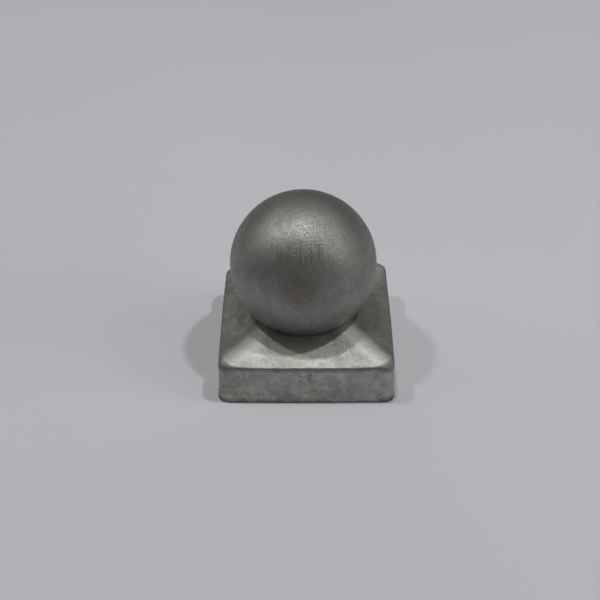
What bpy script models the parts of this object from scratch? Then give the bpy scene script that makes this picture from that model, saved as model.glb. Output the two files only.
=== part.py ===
"""Ball post cap of galvanised steel: a square pressed cap that slips over a post, with a hollow ball set in its crown.

Metres, +Z up. The origin is the middle of the cap's mouth, which is cut level and lies in the plane z = 0.
"""

import math

import bmesh
import bpy
from mathutils import Matrix, Vector

# The square cap
POST_WIDTH = 0.080  # side of the square post that it covers
POST_PLAY = 0.0005  # room left across the post under the shoulder
SHEET = 0.00125  # thickness of the pressed sheet
SKIRT_HEIGHT = 0.0208  # from the mouth up to the shoulder's edge
MOUTH_FLARE = 0.00075  # how far each side has spread at the mouth
SIDE_BOW = 0.00025  # how far the middle of a side stands out from its corners
CORNER_RADIUS = 0.0055  # outside, seen from above
SHOULDER_RADIUS = 0.0015  # outside, where the skirt turns into the crown
TIGHTEST_RADIUS = 0.0003  # of an inner edge, where the sheet is thicker than the outer radius
CROWN_SLOPE = math.radians(19.0)  # of the four low faces
RIDGE_RADIUS = 0.0085  # outside, of a ridge where it meets the ball

# The ball
BALL_DIAMETER = 0.070
BALL_WALL = 0.00125
BALL_SHIFT = -0.0014  # along X: it was welded a little off the cap's middle
SEAT_RADIUS = 0.0244  # where the ball meets the middle of a crown face
LIP_DROP = 0.0016  # how far the ball's open lower edge hangs under the crown's skin
SEAT_GAP = 0.0003  # between the ball and the edge of the crown's hole

# How finely round shapes are divided
CORNER_STEPS = 8
SIDE_STEPS = 8
SKIRT_STEPS = 6
SHOULDER_STEPS = 4
CROWN_STEPS = 5
BALL_SEGMENTS = 48

# What follows from the sizes
POLE = math.pi / 2  # elevation of the ball's top
HALF_WIDTH = POST_WIDTH / 2 + POST_PLAY / 2 + SHEET
BALL_RADIUS = BALL_DIAMETER / 2
SKIN_DROP = SHEET / math.cos(CROWN_SLOPE)  # the sheet's thickness measured straight down through the crown
SEAT_HEIGHT = SKIRT_HEIGHT + (HALF_WIDTH - SEAT_RADIUS) * math.tan(CROWN_SLOPE)
BALL_CENTRE = Vector((BALL_SHIFT, 0.0, SEAT_HEIGHT + math.sqrt(BALL_RADIUS**2 - SEAT_RADIUS**2)))
LIP_HEIGHT = SEAT_HEIGHT - SKIN_DROP - LIP_DROP
CUT_MARGIN = SHEET  # how far the socket's cutter reaches past the mouth


def clear_scene():
    for item in list(bpy.data.objects):
        bpy.data.objects.remove(item, do_unlink=True)


def galvanised(name, colour, roughness):
    """A dull zinc coat."""
    material = bpy.data.materials.new(name)
    material.use_nodes = True
    shader = material.node_tree.nodes["Principled BSDF"]
    shader.inputs["Base Color"].default_value = (*colour, 1.0)
    shader.inputs["Metallic"].default_value = 0.9
    shader.inputs["Roughness"].default_value = roughness
    return material


def add_object(name, mesh_data, material=None):
    """Turns a bmesh into an object that is shaded smooth, with its real edges kept sharp."""
    mesh = bpy.data.meshes.new(name)
    mesh_data.to_mesh(mesh)
    mesh_data.free()
    mesh.shade_smooth()
    mesh.set_sharp_from_angle(angle=math.radians(28.0))
    if material:
        mesh.materials.append(material)
    item = bpy.data.objects.new(name, mesh)
    bpy.context.scene.collection.objects.link(item)
    return item


def as_cutter(item):
    item.hide_render = True
    item.display_type = "WIRE"
    return item


def cut(item, cutter, name):
    boolean = item.modifiers.new(name, "BOOLEAN")
    boolean.operation = "DIFFERENCE"
    boolean.solver = "EXACT"
    boolean.object = cutter


def section(half, radius, bow, height):
    """One level of the cap: a square with round corners, whose sides bow out by a squared cosine."""
    straight = half - radius
    points = []
    for quarter in range(4):
        turn = Matrix.Rotation(quarter * math.pi / 2, 3, "Z")
        for step in range(SIDE_STEPS):
            along = 2 * step / SIDE_STEPS - 1
            out = half + bow * math.cos(along * math.pi / 2) ** 2
            points.append(turn @ Vector((out, along * straight, height)))
        for step in range(CORNER_STEPS):
            angle = step / CORNER_STEPS * math.pi / 2
            corner = Vector((straight + radius * math.cos(angle), straight + radius * math.sin(angle), height))
            points.append(turn @ corner)
    return points


def cap_levels(inset, reach):
    """The cap's levels from the mouth to the crown, at a depth of inset inside its outer skin.

    The skirt spreads with the square of the distance below the shoulder, the shoulder is a quarter turn or less,
    and each crown face rises at CROWN_SLOPE while its ridges widen towards the ball. The skirt goes on for reach
    below the mouth.
    """
    half = HALF_WIDTH - inset
    corner = max(CORNER_RADIUS - inset, TIGHTEST_RADIUS)
    turn = max(SHOULDER_RADIUS - inset, TIGHTEST_RADIUS)
    eaves = SKIRT_HEIGHT + inset * math.tan(CROWN_SLOPE) - inset / math.cos(CROWN_SLOPE)
    setback = turn * math.tan((math.pi / 2 - CROWN_SLOPE) / 2)
    skirt_top = eaves - setback
    levels = []
    for step in range(SKIRT_STEPS + 1):
        height = -reach + step / SKIRT_STEPS * (skirt_top + reach)
        spread = MOUTH_FLARE * (1 - max(height, 0) / skirt_top) ** 2
        levels.append(section(half + spread, corner, SIDE_BOW, height))
    for step in range(1, SHOULDER_STEPS + 1):
        angle = step / SHOULDER_STEPS * (math.pi / 2 - CROWN_SLOPE)
        back = turn * (1 - math.cos(angle))
        levels.append(section(half - back, corner, SIDE_BOW, skirt_top + turn * math.sin(angle)))
    first = turn * (1 - math.sin(CROWN_SLOPE))
    last = half - SEAT_RADIUS / 2
    for step in range(1, CROWN_STEPS + 1):
        share = step / CROWN_STEPS
        back = first + share * (last - first)
        radius = min(corner + share * (RIDGE_RADIUS - CORNER_RADIUS), half - back - TIGHTEST_RADIUS)
        levels.append(section(half - back, radius, SIDE_BOW * (1 - share), eaves + back * math.tan(CROWN_SLOPE)))
    return levels


def block(levels):
    """A closed solid through a pile of levels."""
    mesh_data = bmesh.new()
    rings = [[mesh_data.verts.new(point) for point in level] for level in levels]
    for lower, upper in zip(rings, rings[1:]):
        for near in range(len(lower)):
            far = (near + 1) % len(lower)
            mesh_data.faces.new((lower[near], lower[far], upper[far], upper[near]))
    mesh_data.faces.new(reversed(rings[0]))
    mesh_data.faces.new(rings[-1])
    bmesh.ops.recalc_face_normals(mesh_data, faces=mesh_data.faces)
    return mesh_data


def arc(radius, start, end):
    """Points of an upright arc round the ball's centre, by elevation."""
    steps = math.ceil(abs(end - start) / (2 * math.pi / BALL_SEGMENTS))
    angles = [start + step / steps * (end - start) for step in range(steps + 1)]
    return [Vector((radius * math.cos(angle), 0.0, radius * math.sin(angle))) for angle in angles]


def turned(profile):
    """A solid turned round the ball's upright axis, whose ends on the axis close to a point."""
    mesh_data = bmesh.new()
    line = [mesh_data.verts.new(point) for point in profile]
    edges = [mesh_data.edges.new(pair) for pair in zip(line, line[1:])]
    bmesh.ops.spin(
        mesh_data,
        geom=line + edges,
        cent=(0.0, 0.0, 0.0),
        axis=(0.0, 0.0, 1.0),
        angle=2 * math.pi,
        steps=BALL_SEGMENTS,
    )
    bmesh.ops.remove_doubles(mesh_data, verts=mesh_data.verts, dist=1e-6)
    bmesh.ops.recalc_face_normals(mesh_data, faces=mesh_data.faces)
    return mesh_data


def make_cap(material):
    """The pressed cap: a hipped block, hollowed from below, with a hole that the ball sits in."""
    cap = add_object("square_cap", block(cap_levels(0.0, 0.0)), material)
    socket = as_cutter(add_object("post_socket_cutter", block(cap_levels(SHEET, CUT_MARGIN))))
    sphere = arc(BALL_RADIUS + SEAT_GAP, POLE, -POLE)
    hole = as_cutter(add_object("ball_seat_cutter", turned(sphere)))
    hole.location = BALL_CENTRE
    cut(cap, socket, "post socket")
    cut(cap, hole, "ball seat")
    return cap


def make_ball(material):
    """The ball: a thin round shell, cut off level below, where it stays open inside the cap."""
    inner_radius = BALL_RADIUS - BALL_WALL
    drop = LIP_HEIGHT - BALL_CENTRE.z
    outside = arc(BALL_RADIUS, POLE, math.asin(drop / BALL_RADIUS))
    inside = arc(inner_radius, math.asin(drop / inner_radius), POLE)
    ball = add_object("ball", turned(outside + inside), material)
    ball.location = BALL_CENTRE
    return ball


def main():
    clear_scene()
    cap = make_cap(galvanised("galvanised_cap", (0.34, 0.34, 0.32), 0.48))
    ball = make_ball(galvanised("galvanised_ball", (0.30, 0.30, 0.28), 0.42))
    ball.parent = cap


main()
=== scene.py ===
"""Looks of a ball post cap: its pressed sheet and its ball as fine surfaces, in a dull galvanised finish.

Everything is in metres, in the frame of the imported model: +Z up, the origin in the middle of the cap's mouth.
"""

import math

import bpy
import numpy as np
from bpy.props import FloatProperty, FloatVectorProperty, PointerProperty
from mathutils import Matrix, Vector


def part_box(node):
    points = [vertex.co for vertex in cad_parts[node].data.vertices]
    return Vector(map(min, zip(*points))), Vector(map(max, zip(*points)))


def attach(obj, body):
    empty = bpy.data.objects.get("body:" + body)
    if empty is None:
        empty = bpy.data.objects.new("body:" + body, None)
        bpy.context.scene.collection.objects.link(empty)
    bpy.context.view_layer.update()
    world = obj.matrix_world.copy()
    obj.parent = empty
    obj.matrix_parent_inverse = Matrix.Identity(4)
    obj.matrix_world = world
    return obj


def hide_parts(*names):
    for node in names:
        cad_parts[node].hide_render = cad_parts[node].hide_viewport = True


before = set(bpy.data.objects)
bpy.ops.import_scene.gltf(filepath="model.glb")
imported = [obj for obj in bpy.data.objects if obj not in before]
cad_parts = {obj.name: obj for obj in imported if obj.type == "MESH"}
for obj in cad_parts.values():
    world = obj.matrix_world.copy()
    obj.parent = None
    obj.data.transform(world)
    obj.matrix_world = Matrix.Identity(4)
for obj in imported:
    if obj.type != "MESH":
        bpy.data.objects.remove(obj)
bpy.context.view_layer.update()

bl_info = {
    "name": "Galvanised ball post cap",
    "version": (1, 0, 0),
    "blender": (4, 5, 0),
    "location": "View3D > Sidebar > Post cap",
    "description": "Builds a square post cap with a ball on it, and a plain studio round it",
    "category": "Add Mesh",
}

CAP_NODE, BALL_NODE = "square_cap", "ball"
CAP_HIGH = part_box(CAP_NODE)[1]
BALL_LOW, BALL_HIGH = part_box(BALL_NODE)
FULL_TURN, QUARTER_TURN = 2 * math.pi, math.pi / 2

# How finely the surfaces are divided
SIDE_COLUMNS, CORNER_COLUMNS = 56, 22
CROWN_ROWS, SHOULDER_ROWS, SKIRT_ROWS, EDGE_ROWS, WALL_ROWS = 64, 10, 40, 5, 3
BALL_COLUMNS, BALL_ROWS, HOLLOW_ROWS, LIP_ROWS = 300, 150, 50, 4
HALVINGS = 30  # of the range in which the crown meets the ball

# The photograph's camera, fitted to the outline of the cap and the ball
FRAME_PIXELS = 600
FOCAL_PIXELS = 1113.0
SENSOR_MM = 36.0


class CapSizes(bpy.types.PropertyGroup):
    """Sizes of the pressed cap.

    Values for its four corners are in the order back right, back left, front left, front right.
    """

    sheet: FloatProperty(name="Sheet", description="Thickness of the steel", default=0.00125, unit="LENGTH")
    shoulder_height: FloatProperty(
        name="Shoulder height", description="From the mouth to the shoulder", default=0.0208, unit="LENGTH"
    )
    flare: FloatProperty(
        name="Flare", description="Spread of a side at the mouth", default=0.00075, unit="LENGTH"
    )
    bow: FloatProperty(
        name="Bow", description="How far the middle of a side bulges", default=0.00025, unit="LENGTH"
    )
    corner: FloatProperty(
        name="Corner radius", description="Of the skirt, seen from above", default=0.0055, unit="LENGTH"
    )
    shoulder: FloatProperty(
        name="Shoulder radius", description="Of the bend, in its straight runs", default=0.0015, unit="LENGTH"
    )
    corner_shoulder: FloatVectorProperty(
        name="Corner shoulder radii", description="Of the bend, in the middle of each corner",
        default=(0.0040, 0.0054, 0.0042, 0.0042), size=4, unit="LENGTH",
    )
    fold: FloatVectorProperty(
        name="Fold radii", description="Of the crown's corners where they meet the shoulder, seen from above",
        default=(0.0055, 0.0062, 0.0055, 0.0055), size=4, unit="LENGTH",
    )
    lift: FloatVectorProperty(
        name="Corner lifts", description="How far each corner of the shoulder is bent up",
        default=(0.0016, 0.0, 0.0008, 0.0008), size=4, unit="LENGTH",
    )
    easing: FloatProperty(
        name="Easing", description="Way to a corner in which the bend's radius grows",
        default=0.009, unit="LENGTH",
    )
    tight: FloatProperty(
        name="Inner radius", description="Of the tightest bend", default=0.0003, unit="LENGTH"
    )
    slope: FloatProperty(
        name="Crown slope", description="Of the four faces", default=math.radians(19.0), subtype="ANGLE"
    )
    ridge: FloatProperty(
        name="Ridge radius", description="Where it meets the ball", default=0.0085, unit="LENGTH"
    )
    seat: FloatProperty(
        name="Seat radius", description="Of the hole in the crown", default=0.0244, unit="LENGTH"
    )
    edge: FloatProperty(
        name="Edge radius", description="Of the mouth's cut edge", default=0.00035, unit="LENGTH"
    )
    seam: FloatProperty(
        name="Seam", description="Between the ball and the crown", default=0.00005, unit="LENGTH"
    )
    wave: FloatProperty(
        name="Sheet wave", description="Depth of the sheet's slow waves", default=0.00012, unit="LENGTH"
    )
    dimple: FloatProperty(
        name="Corner dimple", description="Depth of the mark that pressing left in each corner",
        default=0.00008, unit="LENGTH",
    )


class BallSizes(bpy.types.PropertyGroup):
    """Sizes of the ball."""

    radius: FloatProperty(name="Radius", description="Outside", default=0.035, unit="LENGTH")
    wall: FloatProperty(name="Wall", description="Thickness of the shell", default=0.00125, unit="LENGTH")
    wave: FloatProperty(name="Wave", description="Depth of the slow waves", default=0.00005, unit="LENGTH")
    grain: FloatProperty(
        name="Grain", description="Depth of the zinc's small lumps", default=0.000018, unit="LENGTH"
    )


class ZincLook(bpy.types.PropertyGroup):
    """Colours and gloss of the galvanised coat."""

    cap: FloatVectorProperty(
        name="Cap", description="Zinc of the pressed cap",
        default=(0.438, 0.446, 0.414), subtype="COLOR", size=3,
    )
    ball: FloatVectorProperty(
        name="Ball", description="Zinc of the ball",
        default=(0.318, 0.320, 0.297), subtype="COLOR", size=3,
    )
    brown: FloatVectorProperty(
        name="Brown bloom", description="Warm patches, over the zinc's own shade",
        default=(0.86, 0.81, 0.74), subtype="COLOR", size=3,
    )
    lilac: FloatVectorProperty(
        name="Lilac bloom", description="Cool patches, over the zinc's own shade",
        default=(0.99, 0.95, 1.13), subtype="COLOR", size=3,
    )
    # the colour of real stains, and of the painted shade that the marks add
    stain_and_shade: FloatVectorProperty(
        name="Stain", description="Darkest marks", default=(0.10, 0.092, 0.08), subtype="COLOR", size=3
    )
    cap_contrast: FloatProperty(
        name="Cap contrast", description="Between its dull and bright zinc", default=0.16, subtype="FACTOR"
    )
    ball_contrast: FloatProperty(
        name="Ball contrast", description="Between its dull and bright zinc", default=0.12, subtype="FACTOR"
    )
    cap_grain: FloatProperty(
        name="Cap grain", description="Depth of the zinc's grain", default=0.00011, unit="LENGTH"
    )
    ball_grain: FloatProperty(
        name="Ball grain", description="Depth of the zinc's grain", default=0.00013, unit="LENGTH"
    )
    metallic: FloatProperty(name="Metallic", description="Share of bare metal", default=0.9, subtype="FACTOR")
    rim: FloatProperty(
        name="Rim", description="How much of its brightness the metal keeps edge-on",
        default=0.82, subtype="FACTOR",
    )
    roughness: FloatProperty(
        name="Roughness", description="Of the middle of the range", default=0.52, subtype="FACTOR"
    )


class StudioLook(bpy.types.PropertyGroup):
    """Camera, floor and lights."""

    pitch: FloatProperty(name="Pitch", description="Downwards", default=math.radians(38.1), subtype="ANGLE")
    yaw: FloatProperty(name="Yaw", description="To the right", default=math.radians(-0.22), subtype="ANGLE")
    roll: FloatProperty(name="Roll", description="Of the frame", default=math.radians(-0.23), subtype="ANGLE")
    distance: FloatProperty(
        name="Distance", description="To the shoulder's plane", default=0.5506, unit="LENGTH"
    )
    sideways: FloatProperty(name="Sideways", description="Shift in the frame", default=0.00307, unit="LENGTH")
    upwards: FloatProperty(name="Upwards", description="Shift in the frame", default=-0.00656, unit="LENGTH")
    floor: FloatVectorProperty(
        name="Floor", description="Colour of the table top",
        default=(0.722, 0.708, 0.745), subtype="COLOR", size=3,
    )
    ambient: FloatProperty(name="Ambient", description="Strength of the even light", default=0.03)


def smooth_step(value):
    """0 up to 0, 1 from 1 on, and a smooth rise between them."""
    value = np.clip(value, 0, 1)
    return value**2 * (3 - 2 * value)


def smooth_noise(points, wavelength, seed, waves=16):
    """Smooth noise from -1 to 1: sine waves of one length in random directions, summed and softly clipped."""
    draw = np.random.default_rng(seed)
    directions = draw.normal(size=(waves, 3))
    directions /= np.linalg.norm(directions, axis=1, keepdims=True)
    phases = draw.uniform(0, FULL_TURN, waves)
    total = np.sin(points @ (directions.T * FULL_TURN / wavelength) + phases).sum(axis=-1)
    return np.tanh(total / math.sqrt(waves / 2))


def add_surface(name, rings, first_pole=None, last_pole=None):
    """A closed surface over a grid of rings.

    Each ring of points joins the next by quads, and every ring is closed on itself. With poles, each end is
    a fan of triangles to its pole. Without them the last ring joins the first. The faces are turned to look
    outwards.
    """
    rows, columns = rings.shape[:2]
    points = rings.reshape(-1, 3)
    index = np.arange(rows * columns).reshape(rows, columns)
    following = np.roll(index, -1, axis=1)
    if first_pole is None:
        upper, upper_following = np.roll(index, -1, axis=0), np.roll(following, -1, axis=0)
        quads = np.stack([index, following, upper_following, upper], axis=-1).reshape(-1, 4)
        fans = np.empty((0, 3), int)
    else:
        quads = np.stack([index[:-1], following[:-1], following[1:], index[1:]], axis=-1).reshape(-1, 4)
        first, last = len(points), len(points) + 1
        points = np.vstack([points, first_pole, last_pole])
        start = np.stack([np.full(columns, first), following[0], index[0]], axis=-1)
        end = np.stack([np.full(columns, last), index[-1], following[-1]], axis=-1)
        fans = np.vstack([start, end])
    halves = np.vstack([quads[:, [0, 1, 2]], quads[:, [0, 2, 3]], fans])
    if np.linalg.det(points[halves]).sum() < 0:
        quads, fans = quads[:, ::-1], fans[:, ::-1]
    corners = np.concatenate([quads.ravel(), fans.ravel()])
    sizes = np.concatenate([np.full(len(quads), 4), np.full(len(fans), 3)])
    mesh = bpy.data.meshes.new(name)
    mesh.vertices.add(len(points))
    mesh.vertices.foreach_set("co", points.astype(np.float32).ravel())
    mesh.loops.add(len(corners))
    mesh.loops.foreach_set("vertex_index", corners.astype(np.int32))
    mesh.polygons.add(len(sizes))
    mesh.polygons.foreach_set("loop_start", np.concatenate([[0], np.cumsum(sizes)[:-1]]).astype(np.int32))
    mesh.update(calc_edges=True)
    mesh.validate()
    mesh.shade_smooth()
    piece = bpy.data.objects.new(name, mesh)
    bpy.context.scene.collection.objects.link(piece)
    return piece


def ring_normals(rings):
    """Unit normals of a grid that closes both ways, from the differences of its neighbours."""
    down = np.roll(rings, -1, axis=0) - np.roll(rings, 1, axis=0)
    round_it = np.roll(rings, -1, axis=1) - np.roll(rings, 1, axis=1)
    normals = np.cross(down, round_it)
    return normals / np.maximum(np.linalg.norm(normals, axis=-1, keepdims=True), 1e-12)


def cap_columns():
    """Places round the cap: each side runs from -1 to 1 along itself, then its corner turns by a quarter."""
    side = np.linspace(-1, 1, SIDE_COLUMNS, endpoint=False)
    corner = np.linspace(0, QUARTER_TURN, CORNER_COLUMNS, endpoint=False)
    along = np.tile(np.concatenate([side, np.ones(CORNER_COLUMNS)]), 4)
    turn = np.tile(np.concatenate([np.zeros(SIDE_COLUMNS), corner]), 4)
    quarter = np.repeat(np.arange(4) * QUARTER_TURN, SIDE_COLUMNS + CORNER_COLUMNS)
    return along, turn, quarter


def cap_level(half, radius, bow, height, columns):
    """Round-cornered squares: half is the half width, and the sides bow out by a squared cosine."""
    along, turn, quarter = columns
    straight = half - radius
    out = straight + radius * np.cos(turn) + bow * np.cos(along * QUARTER_TURN) ** 2
    across = along * straight + radius * np.sin(turn)
    x = out * np.cos(quarter) - across * np.sin(quarter)
    y = out * np.sin(quarter) + across * np.cos(quarter)
    return np.stack(np.broadcast_arrays(x, y, height), axis=-1)


LIFT_REACH = 2  # the shoulder starts to rise towards a corner at this many times the easing


class Skin:
    """One face of the sheet, at a depth of inset under the cap's outer face.

    The way along the shoulder to the middle of the nearest corner gives two smooth steps: the bend's radius
    grows to that corner's within the easing, and the shoulder rises by that corner's lift over a longer way.
    The radius of the crown's corners changes evenly along each side, from one corner's to the next.
    """

    def __init__(self, sizes, inset, columns):
        self.sizes, self.columns = sizes, columns
        self.half = CAP_HIGH.x - sizes.flare - sizes.bow - inset
        self.corner = max(sizes.corner - inset, sizes.tight)
        along, turn, quarter = columns
        side = np.rint(quarter / QUARTER_TURN).astype(int)
        folds = np.array(sizes.fold)
        fold = folds[side - 1] + (folds[side] - folds[side - 1]) * (1 + along) / 2
        self.fold = np.maximum(fold - inset, sizes.tight)
        straight = self.half + inset - sizes.corner
        away = (1 - np.abs(along)) * straight + sizes.corner * np.abs(turn - QUARTER_TURN / 2)
        nearest = side - (along < 0)
        growth = smooth_step(1 - away / sizes.easing)
        eased = sizes.shoulder + growth * (np.array(sizes.corner_shoulder)[nearest] - sizes.shoulder)
        self.turn = np.maximum(eased - inset, sizes.tight)
        self.lift = np.array(sizes.lift)[nearest] * smooth_step(1 - away / (LIFT_REACH * sizes.easing))
        self.eaves = sizes.shoulder_height + inset * math.tan(sizes.slope) - inset / math.cos(sizes.slope)
        self.skirt_top = self.eaves + self.lift - self.turn * math.tan((QUARTER_TURN - sizes.slope) / 2)

    def skirt(self, height):
        """Levels of the skirt, which spreads with the square of the distance below the shoulder."""
        spread = self.sizes.flare * (1 - height / self.skirt_top) ** 2
        return cap_level(self.half + spread, self.corner, self.sizes.bow, height, self.columns)

    def bend(self, angle):
        """Levels of the shoulder's arc, by how far it has turned from upright.

        The corners' radius, seen from above, changes from the skirt's to the crown's by a smooth step.
        """
        back = self.turn * (1 - np.cos(angle))
        height = self.skirt_top + self.turn * np.sin(angle)
        share = smooth_step(angle / (QUARTER_TURN - self.sizes.slope))
        radius = self.corner + share * (self.fold - self.corner)
        return cap_level(self.half - back, radius, self.sizes.bow, height, self.columns)

    def crown(self, share):
        """Levels of the crown, as share goes from 0 to 1.

        The four faces rise at the slope, the ridges widen, and the corners' lift fades by its square.
        """
        first = self.turn * (1 - math.sin(self.sizes.slope))
        last = self.half - self.sizes.seat / 2
        back = first + share * (last - first)
        radius = self.fold + share * (self.sizes.ridge - self.fold)
        height = self.eaves + self.lift * (1 - share) ** 2 + back * math.tan(self.sizes.slope)
        return cap_level(self.half - back, radius, self.sizes.bow * (1 - share), height, self.columns)

    def seat_share(self, centre, radius):
        """How far up the crown each column meets a ball, found by halving the range."""
        low, high = np.zeros(len(self.columns[0])), np.ones(len(self.columns[0]))
        for _ in range(HALVINGS):
            middle = (low + high) / 2
            outside = np.linalg.norm(self.crown(middle) - centre, axis=-1) > radius
            low, high = np.where(outside, middle, low), np.where(outside, high, middle)
        return (low + high) / 2


def ball_centre(ball):
    x, y = (BALL_LOW.x + BALL_HIGH.x) / 2, (BALL_LOW.y + BALL_HIGH.y) / 2
    return np.array([x, y, BALL_HIGH.z - ball.radius])


def cap_rings(sizes, ball):
    """The whole sheet as one grid that closes both ways, and the number of rows on its outer face.

    From the edge of the crown's hole it goes out over the crown, round the shoulder, down the skirt, round
    the mouth's cut edge, up inside, and back up through the thickness of the hole's edge.
    """
    columns = cap_columns()
    outer, inner = Skin(sizes, 0.0, columns), Skin(sizes, sizes.sheet, columns)
    centre = ball_centre(ball)
    shoulder_turn = QUARTER_TURN - sizes.slope

    def face(skin, crown_rows, shoulder_rows, skirt_rows):
        seat = skin.seat_share(centre, ball.radius + sizes.seam)
        crown = skin.crown(np.linspace(1, 0, crown_rows)[:, None] * seat)
        bend = skin.bend(np.linspace(shoulder_turn, 0, shoulder_rows)[1:, None])
        drop = np.linspace(skin.skirt_top, np.full_like(skin.skirt_top, sizes.edge), skirt_rows)[1:]
        return np.concatenate([crown, bend, skin.skirt(drop)])

    angle = np.linspace(0, QUARTER_TURN, EDGE_ROWS)[1:]
    inset = np.concatenate([sizes.edge * (1 - np.cos(angle)), sizes.sheet - sizes.edge * (1 - np.sin(angle))])
    lift = np.concatenate([sizes.edge * (1 - np.sin(angle)), sizes.edge * (1 - np.cos(angle))])
    half, radius = outer.half + sizes.flare - inset[:, None], outer.corner - inset[:, None]
    mouth = cap_level(half, radius, sizes.bow, lift[:, None], columns)
    outside = face(outer, CROWN_ROWS, SHOULDER_ROWS, SKIRT_ROWS)
    inside = face(inner, CROWN_ROWS // 2, SHOULDER_ROWS // 2, SKIRT_ROWS // 3)[::-1]
    steps = np.linspace(0, 1, WALL_ROWS + 2)[1:-1, None, None]
    wall = inside[-1] + steps * (outside[0] - inside[-1])
    return np.concatenate([outside, mouth, inside, wall]), len(outside)


# The unevenness of the sheet: length, seed and share of its waves, the place of its dimples, and how fast it
# sets in
LONG_WAVE, LONG_SHARE = (0.034, 3), 0.6
SHORT_WAVE, SHORT_SHARE = (0.013, 5), 0.4
DIMPLE_INSET = 0.45  # in from the skirt's outer corner, as a share of the corner's radius
DIMPLE_DROP, DIMPLE_REACH = 0.0026, 0.0028  # below the shoulder, and how far it spreads
FADE = 9  # it is full after a ninth of the outer face's rows
FOUR_CORNERS = ((-1, -1), (1, -1), (1, 1), (-1, 1))


def press_cap(sizes, ball):
    """The sheet with its unevenness.

    Slow waves sink the outer face by up to sizes.wave, and a dimple lies under the shoulder at each corner.
    Both fade out towards the hole and the mouth, so the seam stays tight and the mouth stays level.
    """
    rings, outside = cap_rings(sizes, ball)
    normals = ring_normals(rings)
    if (normals[outside // 2] * (rings[outside // 2] - rings.mean(axis=(0, 1)))).sum() < 0:
        normals = -normals
    row = np.arange(len(rings))[:, None] / (outside - 1)
    share = smooth_step(np.minimum(row, 1 - row) * FADE)
    slow = smooth_noise(rings, *LONG_WAVE) * LONG_SHARE + smooth_noise(rings, *SHORT_WAVE) * SHORT_SHARE
    depth = sizes.wave * (1 + slow) / 2
    reach = CAP_HIGH.x - sizes.flare - sizes.corner * DIMPLE_INSET
    for x, y in FOUR_CORNERS:
        away = rings - np.array([x * reach, y * reach, sizes.shoulder_height - DIMPLE_DROP])
        depth = depth + sizes.dimple * np.exp(-((np.linalg.norm(away, axis=-1) / DIMPLE_REACH) ** 2))
    return rings - normals * (depth * share)[..., None]


# The painted shade along the shoulder, a darker line: the rows in which it fades, the place along the half width
# where a corner starts, the way in which it grows there, and by how much
CROWN_FADE, SKIRT_FADE = 2, 4
CORNER_START, CORNER_WAY, CORNER_GROWTH = 0.82, 0.10, 0.2


def shoulder_shade_share(rings):
    """How much painted shade each point gets on the outer face's shoulder: 1 there, more at its corners, and
    fading beside it.
    """
    row = np.arange(len(rings))[:, None] - CROWN_ROWS + 1
    below = np.clip(1 - (row - SHOULDER_ROWS + 1) / SKIRT_FADE, 0, 1)
    share = np.minimum(np.clip(row / CROWN_FADE, 0, 1), below)
    nearer = np.abs(rings[..., :2]).min(axis=-1) / CAP_HIGH.x
    corner = np.clip((nearer - CORNER_START) / CORNER_WAY, 0, 1)
    return share * (1 + CORNER_GROWTH * corner)


# Length and seed of the ball's waves and lumps, and the height over its lip in which they set in
BALL_WAVE, BALL_LUMPS, LIP_FADE = (0.011, 11), (0.0028, 13), 0.002


def turn_ball(ball):
    """The ball's shell, open below.

    Its profile goes from the top pole down the outside, round the lip, and up the inside to the inner pole,
    and it is turned round the upright axis. Waves and small lumps only sink the outside, so it never grows.
    """
    centre = ball_centre(ball)
    inner_radius = ball.radius - ball.wall
    drop = BALL_LOW.z - centre[2]
    outer_end, inner_end = math.asin(drop / ball.radius), math.asin(drop / inner_radius)
    outside = np.linspace(QUARTER_TURN, outer_end, BALL_ROWS)[1:]
    inside = np.linspace(inner_end, QUARTER_TURN, HOLLOW_ROWS)[:-1]
    outer_lip, inner_lip = ball.radius * math.cos(outer_end), inner_radius * math.cos(inner_end)
    lip = outer_lip + np.linspace(0, 1, LIP_ROWS + 2)[1:-1] * (inner_lip - outer_lip)
    level = np.full(LIP_ROWS, drop)
    out = np.concatenate([ball.radius * np.cos(outside), lip, inner_radius * np.cos(inside)])
    up = np.concatenate([ball.radius * np.sin(outside), level, inner_radius * np.sin(inside)])
    angle = np.linspace(0, FULL_TURN, BALL_COLUMNS, endpoint=False)
    x, y = out[:, None] * np.cos(angle), out[:, None] * np.sin(angle)
    rings = np.stack(np.broadcast_arrays(x, y, up[:, None]), axis=-1)
    depth = ball.wave * (1 + smooth_noise(rings, *BALL_WAVE)) / 2
    depth += ball.grain * (1 + smooth_noise(rings, *BALL_LUMPS)) / 2
    fade = np.clip((np.arange(len(rings)) < BALL_ROWS - 1) * (up - drop) / LIP_FADE, 0, 1)[:, None]
    rings = rings * (1 - (depth * fade / ball.radius)[..., None])
    return rings + centre, centre + [0, 0, ball.radius - ball.wave / 2], centre + [0, 0, inner_radius]


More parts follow.
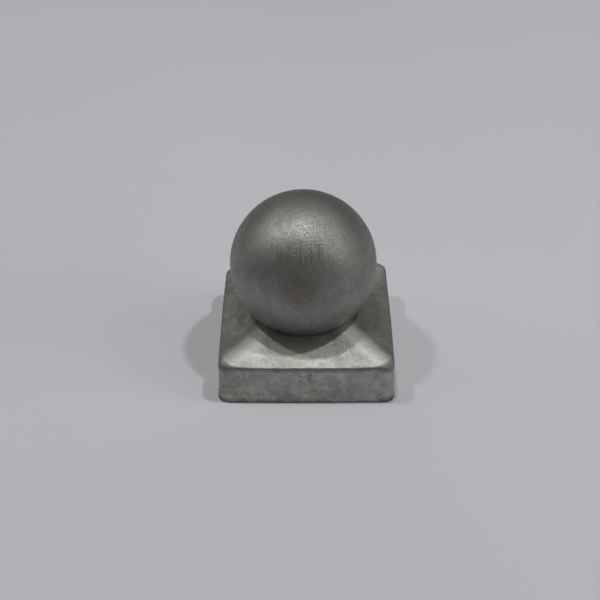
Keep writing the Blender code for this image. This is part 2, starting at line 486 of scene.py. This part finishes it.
class Recipe:
    """Adds nodes to one material. Each call returns an output, which a later call takes like a number."""

    def __init__(self, name):
        self.material = bpy.data.materials.new(name)
        self.material.use_nodes = True
        self.nodes, self.links = self.material.node_tree.nodes, self.material.node_tree.links
        self.shader = self.nodes["Principled BSDF"]

    def put(self, socket, value):
        """Links an output to the socket, or sets its number, vector or colour."""
        if isinstance(value, bpy.types.NodeSocket):
            self.links.new(value, socket)
        elif hasattr(value, "__len__") and len(value) == 3 and socket.type == "RGBA":
            socket.default_value = (*value, 1.0)
        else:
            socket.default_value = value

    def place(self, stretch=(1, 1, 1)):
        """Object coordinates, times stretch."""
        mapping = self.nodes.new("ShaderNodeMapping")
        mapping.inputs["Scale"].default_value = stretch
        self.links.new(self.nodes.new("ShaderNodeTexCoord").outputs["Object"], mapping.inputs["Vector"])
        return mapping.outputs["Vector"]

    def attribute(self, name):
        node = self.nodes.new("ShaderNodeAttribute")
        node.attribute_name = name
        return node.outputs["Fac"]

    def noise(self, where, size, detail=2.0, roughness=0.5, bend=0.0):
        """Noise whose features are about size across."""
        node = self.nodes.new("ShaderNodeTexNoise")
        self.put(node.inputs["Vector"], where)
        self.put(node.inputs["Scale"], 1 / size)
        self.put(node.inputs["Detail"], detail)
        self.put(node.inputs["Roughness"], roughness)
        self.put(node.inputs["Distortion"], bend)
        return node.outputs["Fac"]

    def crystals(self, where, size):
        """A random shade for each crystal of the zinc."""
        node = self.nodes.new("ShaderNodeTexVoronoi")
        self.put(node.inputs["Vector"], where)
        self.put(node.inputs["Scale"], 1 / size)
        return self.split(node.outputs["Color"])[0]

    def split(self, value):
        node = self.nodes.new("ShaderNodeSeparateXYZ")
        self.put(node.inputs[0], value)
        return node.outputs

    def combine(self, operation, first, second=0.0):
        node = self.nodes.new("ShaderNodeMath")
        node.operation = operation
        self.put(node.inputs[0], first)
        self.put(node.inputs[1], second)
        return node.outputs[0]

    def plus(self, first, second):
        return self.combine("ADD", first, second)

    def times(self, first, second):
        return self.combine("MULTIPLY", first, second)

    def most(self, first, second):
        return self.combine("MAXIMUM", first, second)

    def spread(self, value, low, high, start=0.0, end=1.0):
        """Start below low, end above high, and a smooth step between."""
        node = self.nodes.new("ShaderNodeMapRange")
        node.interpolation_type = "SMOOTHSTEP"
        self.put(node.inputs["Value"], value)
        for key, number in (("From Min", low), ("From Max", high), ("To Min", start), ("To Max", end)):
            self.put(node.inputs[key], number)
        return node.outputs["Result"]

    def blend(self, share, first, second, kind="MIX"):
        """The first colour where share is 0, and the second where it is 1, or with MULTIPLY their product."""
        node = self.nodes.new("ShaderNodeMix")
        node.data_type = "RGBA"
        node.blend_type = kind
        self.put(node.inputs["Factor"], share)
        self.put(node.inputs[6], first)
        self.put(node.inputs[7], second)
        return node.outputs[2]

    def vector(self, operation, first, second):
        node = self.nodes.new("ShaderNodeVectorMath")
        node.operation = operation
        self.put(node.inputs[0], first)
        self.put(node.inputs[1], second)
        return node.outputs

    def distance(self, where, point):
        return self.vector("DISTANCE", where, point)["Value"]

    def spot(self, where, point, size, rough=0.0):
        """A soft patch of that size round a point. A noise in rough makes its edge uneven."""
        away = self.plus(self.distance(where, point), self.times(rough, size * 0.9))
        return self.spread(away, size * 0.55, size * 1.35, 1.0, 0.0)

    def scratch(self, where, middle, across, width, length):
        """A line through middle, at right angles to across, that fades at both ends."""
        offset = self.vector("SUBTRACT", where, middle)["Vector"]
        aside = self.combine("ABSOLUTE", self.vector("DOT_PRODUCT", offset, across)["Value"])
        line = self.spread(aside, width * 0.3, width, 1.0, 0.0)
        ends = self.spread(self.distance(where, middle), length * 0.3, length / 2, 1.0, 0.0)
        return self.times(line, ends)

    def bump(self, height, depth, under=None, strength=1.0):
        node = self.nodes.new("ShaderNodeBump")
        self.put(node.inputs["Strength"], strength)
        node.inputs["Distance"].default_value = depth
        self.put(node.inputs["Height"], height)
        if under is not None:
            self.put(node.inputs["Normal"], under)
        return node.outputs["Normal"]


# The zinc's features: how far they are across, and their shares of the mottled shade
CLOUD, BLOTCH, SPECKLE, CRYSTAL = 0.019, 0.0052, 0.0013, 0.0022
CLOUD_SHARE, BLOTCH_SHARE, SPECKLE_SHARE, CRYSTAL_SHARE = 0.35, 0.3, 0.35, 0.05
FINE_GRAIN, COARSE_GRAIN = 0.0007, 0.0014  # across
COARSE_DEPTH = 2.0  # how much deeper the coarse grain is
# the same gain lightens the painted highlights
SCUFF_AND_HIGHLIGHT_GAIN = 1.7  # how much lighter scuffed zinc is
GLOSS_RANGE, STAINED = 0.05, 0.12  # the roughness to each side of its middle, and what the darkest marks add


def zinc(name, colour, look, contrast, grain, marks):
    """A galvanised coat: clouds and blotches of dull and bright zinc, faint crystals, blooms, grain and marks.

    marks takes the recipe and the coordinates, and returns how brown and how lilac each point is, how much real
    stain and painted shade darken it, how much scuffing and painted highlight lighten it, and how strongly the
    coarse grain stands out.
    """
    recipe = Recipe(name)
    where = recipe.place()
    features = (
        (recipe.noise(where, BLOTCH, 3.0, 0.6, 0.5), BLOTCH_SHARE),
        (recipe.noise(where, SPECKLE, 2.0, 0.6), SPECKLE_SHARE),
        (recipe.crystals(where, CRYSTAL), CRYSTAL_SHARE),
    )
    mottle = recipe.times(recipe.noise(where, CLOUD, 2.0, 0.55, 0.4), CLOUD_SHARE)
    for feature, share in features:
        mottle = recipe.plus(mottle, recipe.times(feature, share))
    dull, bright = [c * (1 - contrast) for c in colour], [c * (1 + contrast) for c in colour]
    shade = recipe.blend(recipe.spread(mottle, 0.38, 0.67), dull, bright)
    brown, lilac, stain_and_shade, scuff_and_highlight, sparkle = marks(recipe, where)
    # scuffs and painted highlights lighten the zinc, and stains and painted shade darken it below
    shade = recipe.blend(scuff_and_highlight, shade, [min(c * SCUFF_AND_HIGHLIGHT_GAIN, 1.0) for c in colour])
    shade = recipe.blend(brown, shade, look.brown, "MULTIPLY")
    shade = recipe.blend(lilac, shade, look.lilac, "MULTIPLY")
    shade = recipe.blend(stain_and_shade, shade, look.stain_and_shade)
    recipe.put(recipe.shader.inputs["Base Color"], shade)
    gloss = recipe.spread(mottle, 0.35, 0.65, look.roughness + GLOSS_RANGE, look.roughness - GLOSS_RANGE)
    recipe.put(recipe.shader.inputs["Roughness"], recipe.plus(gloss, recipe.times(stain_and_shade, STAINED)))
    recipe.shader.inputs["Metallic"].default_value = look.metallic
    recipe.shader.inputs["Specular Tint"].default_value = (look.rim, look.rim, look.rim, 1.0)
    fine = recipe.bump(recipe.noise(where, FINE_GRAIN, 2.0, 0.6), grain)
    coarse = recipe.bump(recipe.noise(where, COARSE_GRAIN, 3.0, 0.65), grain * COARSE_DEPTH, fine, sparkle)
    recipe.put(recipe.shader.inputs["Normal"], coarse)
    return recipe.material


# bearing and elevation of the ball's single spots, their size, and how far the lumps of their edge are across
STREAKED_FRONT = (-4.0, 45.0, 0.0130, None)
SPECKLED_TOP = (16.0, 60.0, 0.0165, 0.005)
# painted highlights: the next two lighten the top and the left flank
PAINTED_HIGHLIGHT_TOP = (2.0, 62.0, 0.0088, 0.005)
PAINTED_HIGHLIGHT_LEFT = (-48.0, 51.0, 0.0175, 0.005)
# a warm patch that is partly painted shade: it darkens the ball's front as well as browning it
WARM_FRONT_AND_SHADE = (-3.0, 14.0, 0.0155, 0.008)
RUSTY_FRONT = (-22.0, 45.0, 0.0060, None)
LILAC_FRONT = (-3.0, -12.0, 0.021, 0.006)
NICK = (3.4, -13.4, 0.0005, None)

# painted shade: bearing and elevation of its faint darker spots, their size and how strong they are
PAINTED_SHADES = (
    (-46.0, 4.0, 0.0150, 0.10),
    (31.0, 5.0, 0.0170, 0.06),
    (-34.0, 63.0, 0.0042, 0.24),
    (-23.0, 76.0, 0.0060, 0.12),
)

# bearing and elevation of its scratches, how far each runs to the right and up, its length and its width
SCRATCHES = (
    (-59.0, 5.0, 4.0, 6.2, 0.0038, 0.00026),
    (-57.3, 2.2, 4.4, 6.0, 0.0052, 0.00022),
    (-55.0, 0.6, 4.0, 5.6, 0.0040, 0.00026),
    (-53.2, -2.8, 3.6, 6.0, 0.0028, 0.00022),
    (38.0, 2.0, 4.0, 6.0, 0.0020, 0.00026),
    (2.5, 30.0, 8.0, 1.6, 0.0075, 0.00022),
)

# Its streaks: how far apart and how long they are, how far apart and how high the tips of their ends are (the
# height as a share of the radius), and how strong they are
STREAK_GAP, STREAK_LENGTH, TIP_GAP, TIP_HEIGHT, STREAK_STRENGTH = 0.00088, 0.010, 0.0018, 0.24, 0.66
PIT, SPECK = 0.0018, 0.0009  # how far its dark pits and specks are across


def ball_direction(bearing, elevation):
    """A unit vector from the ball's centre. Bearing 0 is the front, and it grows to the right."""
    bearing, elevation = math.radians(bearing), math.radians(elevation)
    level = math.cos(elevation)
    return Vector((level * math.sin(bearing), -level * math.cos(bearing), math.sin(elevation)))


def ball_marks(centre, radius):
    """Marks of the ball.

    Faint streaks with fading, ragged ends run down the front, under a top with dark specks. Painted highlights
    lie on the top and on the left flank. There are warm, rusty and lilac patches, the warm one partly painted
    shade, faint painted shades, painted shade along the seam, a nick and small scratches.
    """
    middle = Vector(centre)

    def marks(recipe, where):
        def spot(bearing, elevation, size, lumps=None):
            rough = recipe.noise(where, lumps) if lumps else 0.0
            return recipe.spot(where, middle + radius * ball_direction(bearing, elevation), size, rough)

        def step(value, low, high, start=0.0, end=1.0):
            """A smooth step between two heights over the ball's centre, given as shares of its radius."""
            return recipe.spread(value, middle.z + radius * low, middle.z + radius * high, start, end)

        height = recipe.split(where)[2]
        run = recipe.noise(recipe.place((1 / STREAK_GAP, 1 / STREAK_LENGTH, 1 / STREAK_LENGTH)), 1.0, 1.0)
        tips = recipe.noise(recipe.place((1 / TIP_GAP, 0, 0)), 1.0, 1.0)
        end = recipe.plus(height, recipe.times(tips, radius * TIP_HEIGHT))
        streaks = recipe.times(spot(*STREAKED_FRONT), step(end, 0.48, 0.86))
        streaks = recipe.times(recipe.spread(run, 0.42, 0.66), streaks)
        streaks = recipe.times(streaks, step(end, 0.72, 0.98, 1.0, 0.0))

        top = spot(*SPECKLED_TOP)
        pits = recipe.spread(recipe.noise(where, PIT, 2.0, 0.6), 0.62, 0.8, 0.0, 0.3)
        specks = recipe.spread(recipe.noise(where, SPECK, 2.0, 0.6), 0.47, 0.66, 0.0, 0.55)
        pits = recipe.most(pits, recipe.times(specks, top))
        warm = spot(*WARM_FRONT_AND_SHADE)
        # painted shade darkens the ball's lowest band, where it meets the crown, over its dark pits
        stain_and_shade = recipe.most(step(height, -0.78, -0.68, 0.8, 0.0), pits)
        stain_and_shade = recipe.most(stain_and_shade, recipe.times(streaks, STREAK_STRENGTH))
        # the warm patch adds painted shade
        stain_and_shade = recipe.most(stain_and_shade, recipe.times(warm, 0.17))
        # painted shades darken the ball in a few places
        for bearing, elevation, size, strength in PAINTED_SHADES:
            stain_and_shade = recipe.most(stain_and_shade, recipe.times(spot(bearing, elevation, size), strength))

        scuff_and_highlight = spot(*NICK)
        for bearing, elevation, right, up, length, width in SCRATCHES:
            at = ball_direction(bearing, elevation)
            across = at.cross(ball_direction(bearing + right, elevation + up)).normalized()
            scuff_and_highlight = recipe.most(scuff_and_highlight, recipe.scratch(where, middle + radius * at, across, width, length))
        # painted highlights on the top and the left flank, over the scratches and the nick
        scuff_and_highlight = recipe.most(recipe.times(scuff_and_highlight, 0.5), recipe.times(spot(*PAINTED_HIGHLIGHT_TOP), 0.5))
        scuff_and_highlight = recipe.most(scuff_and_highlight, recipe.times(spot(*PAINTED_HIGHLIGHT_LEFT), 0.55))

        # the warm patch's brown is partly painted shade too
        brown = recipe.most(warm, recipe.times(spot(*RUSTY_FRONT), 0.6))
        lilac = recipe.times(spot(*LILAC_FRONT), 0.5)
        patchy = recipe.spread(recipe.noise(where, 0.009), 0.35, 0.6, 0.5, 1.0)
        sparkle = recipe.times(recipe.most(top, 0.3), patchy)
        return brown, lilac, stain_and_shade, scuff_and_highlight, sparkle

    return marks


# place, size and strength of the cap's darker patches
PATCHES = (
    ((0.0290, -0.0140, 0.0251), 0.0045, 0.34),
    ((0.0365, -0.0175, 0.0225), 0.0050, 0.42),
    ((0.0330, 0.0020, 0.0238), 0.0055, 0.34),
    ((-0.0367, -0.0230, 0.0224), 0.0065, 0.34),
    ((-0.0330, -0.0130, 0.0237), 0.0045, 0.28),
    ((-0.0345, 0.0040, 0.0232), 0.0060, 0.26),
    ((0.0360, -0.0040, 0.0227), 0.0060, 0.30),
    ((0.0300, -0.0398, 0.0217), 0.0048, 0.20),
    ((-0.0310, -0.0395, 0.0217), 0.0052, 0.22),
    ((0.0044, -0.0418, 0.0068), 0.0018, 0.30),
    ((0.0230, -0.0420, 0.0060), 0.0060, 0.26),
    ((-0.0095, -0.0420, 0.0036), 0.0035, 0.34),
    ((-0.0350, -0.0418, 0.0170), 0.0045, 0.26),
)
PATCH_REACH = 2.3  # a patch's noise eats into it, so its spot is this much larger

# place and size of its single spots: brown rust under the ball, which also carries painted light in the ball's
# shadow, a warm bloom on the right, and a lighter place on the skirt
SEAM_RUST_AND_LIGHT = ((-0.005, -0.0300, 0.0250), 0.0150)
RIGHT_BLOOM = ((0.0290, -0.0110, 0.0250), 0.0150)
LIGHT_SKIRT_SPOT = ((0.0095, -0.0420, 0.0150), 0.0120)

# The painted highlight along the ridges: how light it is, and how it grows from left to right
RIDGE_HIGHLIGHT = 0.52
HIGHLIGHT_ACROSS = (-0.030, 0.020, 0.4, 1.0)


def cap_marks(sizes):
    """Marks of the cap.

    The skirt is darker along the mouth, and painted shade lies in a dark line along the shoulder. Dark spots and
    patches and brown blooms lie on the skirt and on the crown's left and right, more than on its front and back,
    and a lilac bloom on the right half of the skirt. Brown rust under the ball also carries painted light, which
    lifts the ball's shadow there. A painted highlight lies along the ridges, and one place on the skirt's front
    is lighter.
    """
    shoulder = sizes.shoulder_height

    def marks(recipe, where):
        x, y, height = recipe.split(where)
        blotch = recipe.noise(where, 0.0045, 3.0, 0.6, 0.4)
        ragged = recipe.noise(where, 0.004, 3.0, 0.6)
        foot = recipe.spread(recipe.plus(height, recipe.times(blotch, -0.006)), -0.003, 0.0012, 0.75, 0.0)
        skirt = recipe.spread(height, shoulder * 0.8, shoulder, 1.0, 0.0)
        crown = recipe.spread(height, shoulder, shoulder * 1.1)

        # beyond is 0 over the ridges, more on the crown's left and right, and less on its front and back
        beyond = recipe.combine("SUBTRACT", recipe.combine("ABSOLUTE", x), recipe.combine("ABSOLUTE", y))
        beside = recipe.spread(beyond, 0.001, 0.009)
        # painted highlight: a lighter band along each ridge
        ridges = recipe.spread(beyond, -0.011, -0.003, 0.0, RIDGE_HIGHLIGHT)
        ridges = recipe.times(ridges, recipe.spread(beyond, 0.004, 0.009, 1.0, 0.0))
        ridges = recipe.times(ridges, recipe.spread(x, *HIGHLIGHT_ACROSS))
        weathered = recipe.most(beside, recipe.times(skirt, 0.8))

        spots = recipe.spread(recipe.noise(where, 0.0036, 3.0, 0.6), 0.56, 0.76, 0.0, 0.6)
        patches = recipe.spread(recipe.noise(where, 0.0075, 2.0, 0.5, 0.3), 0.42, 0.75, 0.0, 0.34)
        clouds = recipe.spread(recipe.noise(where, 0.012, 2.0, 0.55, 0.3), 0.42, 0.62, 0.0, 0.36)
        # painted shade: a darker line along the shoulder, from the fold attribute
        fold = recipe.times(recipe.attribute("fold"), recipe.spread(blotch, 0.3, 0.6, 0.32, 0.5))
        stain_and_shade = recipe.times(recipe.most(spots, patches), recipe.plus(0.06, weathered))
        stain_and_shade = recipe.most(stain_and_shade, recipe.times(clouds, beside))
        stain_and_shade = recipe.most(stain_and_shade, fold)
        for place, size, strength in PATCHES:
            patch = recipe.spot(where, place, size * PATCH_REACH, ragged)
            stain_and_shade = recipe.most(stain_and_shade, recipe.times(patch, strength))
        stain_and_shade = recipe.most(foot, stain_and_shade)

        rust_and_light = recipe.spot(where, *SEAM_RUST_AND_LIGHT, recipe.noise(where, 0.005))
        warm = recipe.spread(recipe.noise(where, 0.014, 2.0, 0.6), 0.46, 0.64)
        warm = recipe.times(warm, recipe.times(weathered, 0.5))
        warm = recipe.most(warm, rust_and_light)
        warm = recipe.most(warm, recipe.times(recipe.spot(where, *RIGHT_BLOOM, ragged), 0.9))
        cool = recipe.spread(recipe.noise(where, 0.011), 0.38, 0.58)
        cool = recipe.times(cool, recipe.spread(y, -0.0405, -0.0360, 1.0, 0.2))
        cool = recipe.times(cool, recipe.times(recipe.spread(x, 0.002, 0.030), skirt))

        fresh_and_highlight = recipe.spread(recipe.noise(where, 0.006, 3.0, 0.6), 0.46, 0.66, 0.0, 0.26)
        # the painted highlight along the ridges joins spots of fresh zinc on the crown
        fresh_and_highlight = recipe.times(recipe.most(fresh_and_highlight, ridges), crown)
        # painted light: the rust's spot lifts the ball's shadow on the crown
        fresh_and_highlight = recipe.most(fresh_and_highlight, recipe.times(rust_and_light, 0.6))
        # a lighter place on the skirt's front
        fresh_and_highlight = recipe.most(fresh_and_highlight, recipe.times(recipe.spot(where, *LIGHT_SKIRT_SPOT, ragged), 0.2))
        return warm, cool, stain_and_shade, fresh_and_highlight, 0.5

    return marks


def finish_piece(piece, material, node):
    piece.data.materials.append(material)
    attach(piece, "root")
    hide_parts(node)


# name, bearing, elevation, distance, width, depth, watts
LAMPS = (
    ("middle_lamp", -67.0, 84.0, 2.0, 0.09, 0.09, 6.0),
    ("left_lamp", -82.0, 63.3, 2.0, 0.12, 0.12, 4.95),
    ("right_lamp", 91.5, 68.0, 2.0, 0.10, 0.10, 7.5),
    ("second_left_lamp", -88.0, 45.0, 2.0, 0.30, 0.30, 0.5),
    ("second_right_lamp", 92.0, 47.0, 2.0, 0.30, 0.30, 1.6),
    ("ceiling", 0.0, 89.0, 1.4, 2.0, 1.0, 2.1),
    ("back_left_wall", -28.0, 28.0, 1.6, 0.8, 0.7, 0.35),
    ("back_window", 0.0, 48.0, 1.5, 1.2, 0.5, 0.45),
    ("left_wall", -80.0, 24.0, 1.6, 1.2, 0.7, 1.0),
    ("right_window", 103.0, 26.0, 1.4, 0.6, 0.5, 2.05),
)
LAMP_TARGET = Vector((0.0, 0.0, 0.03))

# The floor: half its width, its points along a side, the shade of its darker clouds, and its paint
FLOOR_REACH, FLOOR_POINTS, FLOOR_CLOUD = 3.0, 13, 0.97
FLOOR_ROUGHNESS, FLOOR_SHEEN = 0.75, 0.2


def add_lamp(name, bearing, elevation, distance, width, depth, watts):
    """A soft rectangular lamp that looks at the object, width across and depth up and down.

    Bearing 0 is behind the object, and it grows to the right.
    """
    light = bpy.data.lights.new(name, "AREA")
    light.shape = "RECTANGLE"
    light.size, light.size_y, light.energy = width, depth, watts
    lamp = bpy.data.objects.new(name, light)
    bpy.context.scene.collection.objects.link(lamp)
    bearing, elevation = math.radians(bearing), math.radians(elevation)
    level = math.cos(elevation) * distance
    offset = Vector((math.sin(bearing) * level, math.cos(bearing) * level, math.sin(elevation) * distance))
    lamp.location = LAMP_TARGET + offset
    lamp.rotation_euler = (-offset).to_track_quat("-Z", "Y").to_euler()
    return lamp


class POSTCAP_OT_add_cap(bpy.types.Operator):
    """Press the square cap out of one sheet."""

    bl_idname = "post_cap.add_cap"
    bl_label = "Add square cap"

    def execute(self, context):
        sizes, ball = context.scene.post_cap_sizes, context.scene.post_cap_ball
        look = context.scene.post_cap_zinc
        rings = press_cap(sizes, ball)
        piece = add_surface("pressed_cap", rings)
        # painted shade: the share of the shoulder's darker line, kept as a point attribute
        fold = piece.data.attributes.new("fold", "FLOAT", "POINT")
        fold.data.foreach_set("value", shoulder_shade_share(rings).ravel())
        material = zinc("cap_zinc", look.cap, look, look.cap_contrast, look.cap_grain, cap_marks(sizes))
        finish_piece(piece, material, CAP_NODE)
        return {"FINISHED"}


class POSTCAP_OT_add_ball(bpy.types.Operator):
    """Turn the ball's shell and set it in the crown."""

    bl_idname = "post_cap.add_ball"
    bl_label = "Add ball"

    def execute(self, context):
        ball, look = context.scene.post_cap_ball, context.scene.post_cap_zinc
        piece = add_surface("zinc_ball", *turn_ball(ball))
        marks = ball_marks(ball_centre(ball), ball.radius)
        material = zinc("ball_zinc", look.ball, look, look.ball_contrast, look.ball_grain, marks)
        finish_piece(piece, material, BALL_NODE)
        return {"FINISHED"}


class POSTCAP_OT_add_studio(bpy.types.Operator):
    """Lay the floor, hang the lamps and place the camera."""

    bl_idname = "post_cap.add_studio"
    bl_label = "Add studio"

    def execute(self, context):
        look = context.scene.post_cap_studio
        self.lay_floor(look)
        for lamp in LAMPS:
            add_lamp(*lamp)
        world = bpy.data.worlds.new("studio")
        context.scene.world = world
        world.use_nodes = True
        background = world.node_tree.nodes["Background"]
        background.inputs["Color"].default_value = (1.0, 1.0, 1.0, 1.0)
        background.inputs["Strength"].default_value = look.ambient
        context.scene.view_settings.view_transform = "Standard"
        self.place_camera(context, look)
        return {"FINISHED"}

    def lay_floor(self, look):
        """A wide level plate, a flat grid of points, in a matt paint with faint clouds."""
        reach = np.linspace(-FLOOR_REACH, FLOOR_REACH, FLOOR_POINTS)
        x, y = np.meshgrid(reach, reach)
        points = np.stack([x, y, np.zeros_like(x)], axis=-1).reshape(-1, 3)
        index = np.arange(len(points)).reshape(x.shape)
        quads = np.stack([index[:-1, :-1], index[:-1, 1:], index[1:, 1:], index[1:, :-1]], axis=-1)
        mesh = bpy.data.meshes.new("floor")
        mesh.from_pydata(points.tolist(), [], quads.reshape(-1, 4).tolist())
        floor = bpy.data.objects.new("floor", mesh)
        bpy.context.scene.collection.objects.link(floor)
        recipe = Recipe("table_top")
        cloud = recipe.spread(recipe.noise(recipe.place(), 0.25), 0.3, 0.7)
        paint = recipe.blend(cloud, tuple(look.floor), tuple(c * FLOOR_CLOUD for c in look.floor))
        recipe.put(recipe.shader.inputs["Base Color"], paint)
        recipe.shader.inputs["Roughness"].default_value = FLOOR_ROUGHNESS
        recipe.shader.inputs["Specular IOR Level"].default_value = FLOOR_SHEEN
        mesh.materials.append(recipe.material)

    def place_camera(self, context, look):
        """The fitted camera. Its shift in the frame is a move sideways and up from the shoulder's middle."""
        forward = Vector((
            math.sin(look.yaw) * math.cos(look.pitch),
            math.cos(look.yaw) * math.cos(look.pitch),
            -math.sin(look.pitch),
        ))
        level = Vector((math.cos(look.yaw), -math.sin(look.yaw), 0.0))
        upright = level.cross(forward)
        right = level * math.cos(look.roll) + upright * math.sin(look.roll)
        up = upright * math.cos(look.roll) - level * math.sin(look.roll)
        data = bpy.data.cameras.new("camera")
        data.sensor_width = SENSOR_MM
        data.lens = SENSOR_MM * FOCAL_PIXELS / FRAME_PIXELS
        data.dof.use_dof = False
        camera = bpy.data.objects.new("camera", data)
        context.scene.collection.objects.link(camera)
        target = Vector((0.0, 0.0, context.scene.post_cap_sizes.shoulder_height))
        place = target - right * look.sideways - up * look.upwards - forward * look.distance
        camera.matrix_world = Matrix.Translation(place) @ Matrix((right, up, -forward)).transposed().to_4x4()
        context.scene.camera = camera


class POSTCAP_PT_panel(bpy.types.Panel):
    """Lists the steps in the sidebar."""

    bl_label = "Post cap"
    bl_idname = "POSTCAP_PT_panel"
    bl_space_type = "VIEW_3D"
    bl_region_type = "UI"
    bl_category = "Post cap"

    def draw(self, context):
        for step in STEPS:
            self.layout.operator(step.bl_idname)
        for name in SETTINGS:
            group = getattr(context.scene, name)
            for key in group.bl_rna.properties.keys():
                if key not in ("rna_type", "name"):
                    self.layout.prop(group, key)


STEPS = (POSTCAP_OT_add_studio, POSTCAP_OT_add_cap, POSTCAP_OT_add_ball)
SETTINGS = {
    "post_cap_sizes": CapSizes,
    "post_cap_ball": BallSizes,
    "post_cap_zinc": ZincLook,
    "post_cap_studio": StudioLook,
}


def register():
    for kind in (*SETTINGS.values(), *STEPS, POSTCAP_PT_panel):
        bpy.utils.register_class(kind)
    for name, kind in SETTINGS.items():
        setattr(bpy.types.Scene, name, PointerProperty(type=kind))


def unregister():
    for name in SETTINGS:
        delattr(bpy.types.Scene, name)
    for kind in (POSTCAP_PT_panel, *STEPS, *SETTINGS.values()):
        bpy.utils.unregister_class(kind)


def main():
    register()
    bpy.ops.post_cap.add_studio()
    bpy.ops.post_cap.add_cap()
    bpy.ops.post_cap.add_ball()


if __name__ == "__main__":
    main()
